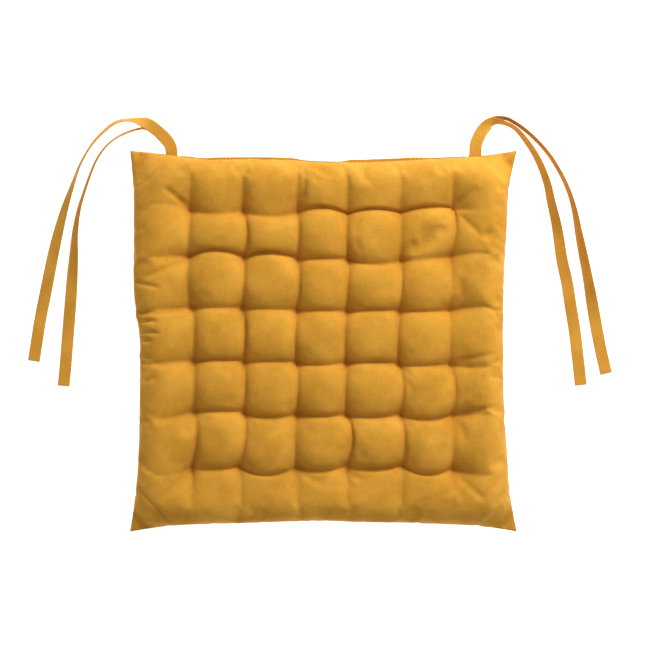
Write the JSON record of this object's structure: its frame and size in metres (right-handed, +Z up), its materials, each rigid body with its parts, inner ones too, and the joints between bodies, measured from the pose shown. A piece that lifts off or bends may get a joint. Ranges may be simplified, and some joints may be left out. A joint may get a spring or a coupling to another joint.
{
  "type": "chair seat pad",
  "caption": "Square tufted cotton seat pad with a knife-edge seam and two pairs of flat tape ties at the back corners for tying it to a chair.",
  "frame": {"origin": "centre of the pad's box, on the seat surface it lies on, without the tie tails and their tabs", "axes": "+Z up from the seat, +Y towards the back edge where the ties are sewn in, +X to the right when looking along +Y"},
  "size_m": [0.6093, 0.4305, 0.045],
  "materials": {
    "cover_cotton": "plain-weave cotton, mustard yellow, matt with a faint fuzz",
    "filling_fibre": "lofty white polyester fibre",
    "sewing_thread": "twisted thread dyed to match the cover",
    "tie_tape": "folded and edge-stitched cotton tape, mustard yellow"
  },
  "bodies": {
    "pad": {"cover_top": "cover_cotton", "cover_bottom": "cover_cotton", "filling": "filling_fibre", "seam_stitching": "sewing_thread", "closing_stitching": "sewing_thread", "tie_left_tab": "tie_tape", "tie_right_tab": "tie_tape", "tuft_r1_c1": "sewing_thread", "tuft_r1_c2": "sewing_thread", "tuft_r1_c3": "sewing_thread", "tuft_r1_c4": "sewing_thread", "tuft_r1_c5": "sewing_thread", "tuft_r1_c6": "sewing_thread", "tuft_r2_c1": "sewing_thread", "tuft_r2_c2": "sewing_thread", "tuft_r2_c3": "sewing_thread", "tuft_r2_c4": "sewing_thread", "tuft_r2_c5": "sewing_thread", "tuft_r2_c6": "sewing_thread", "tuft_r3_c1": "sewing_thread", "tuft_r3_c2": "sewing_thread", "tuft_r3_c3": "sewing_thread", "tuft_r3_c4": "sewing_thread", "tuft_r3_c5": "sewing_thread", "tuft_r3_c6": "sewing_thread", "tuft_r4_c1": "sewing_thread", "tuft_r4_c2": "sewing_thread", "tuft_r4_c3": "sewing_thread", "tuft_r4_c4": "sewing_thread", "tuft_r4_c5": "sewing_thread", "tuft_r4_c6": "sewing_thread", "tuft_r5_c1": "sewing_thread", "tuft_r5_c2": "sewing_thread", "tuft_r5_c3": "sewing_thread", "tuft_r5_c4": "sewing_thread", "tuft_r5_c5": "sewing_thread", "tuft_r5_c6": "sewing_thread", "tuft_r6_c1": "sewing_thread", "tuft_r6_c2": "sewing_thread", "tuft_r6_c3": "sewing_thread", "tuft_r6_c4": "sewing_thread", "tuft_r6_c5": "sewing_thread", "tuft_r6_c6": "sewing_thread"},
    "tie_left": {"tie_left_outer": "tie_tape", "tie_left_inner": "tie_tape"},
    "tie_right": {"tie_right_inner": "tie_tape", "tie_right_outer": "tie_tape"}
  },
  "joints": [
    {"name": "tie_left_swing", "type": "hinge", "parent": "pad", "child": "tie_left", "pos_m": [-0.1575, 0.1975, 0.019], "axis": [0, 0, 1], "range_deg": [-40, 10]},
    {"name": "tie_right_swing", "type": "hinge", "parent": "pad", "child": "tie_right", "pos_m": [0.1575, 0.1975, 0.019], "axis": [0, 0, 1], "range_deg": [-10, 40]}
  ]
}
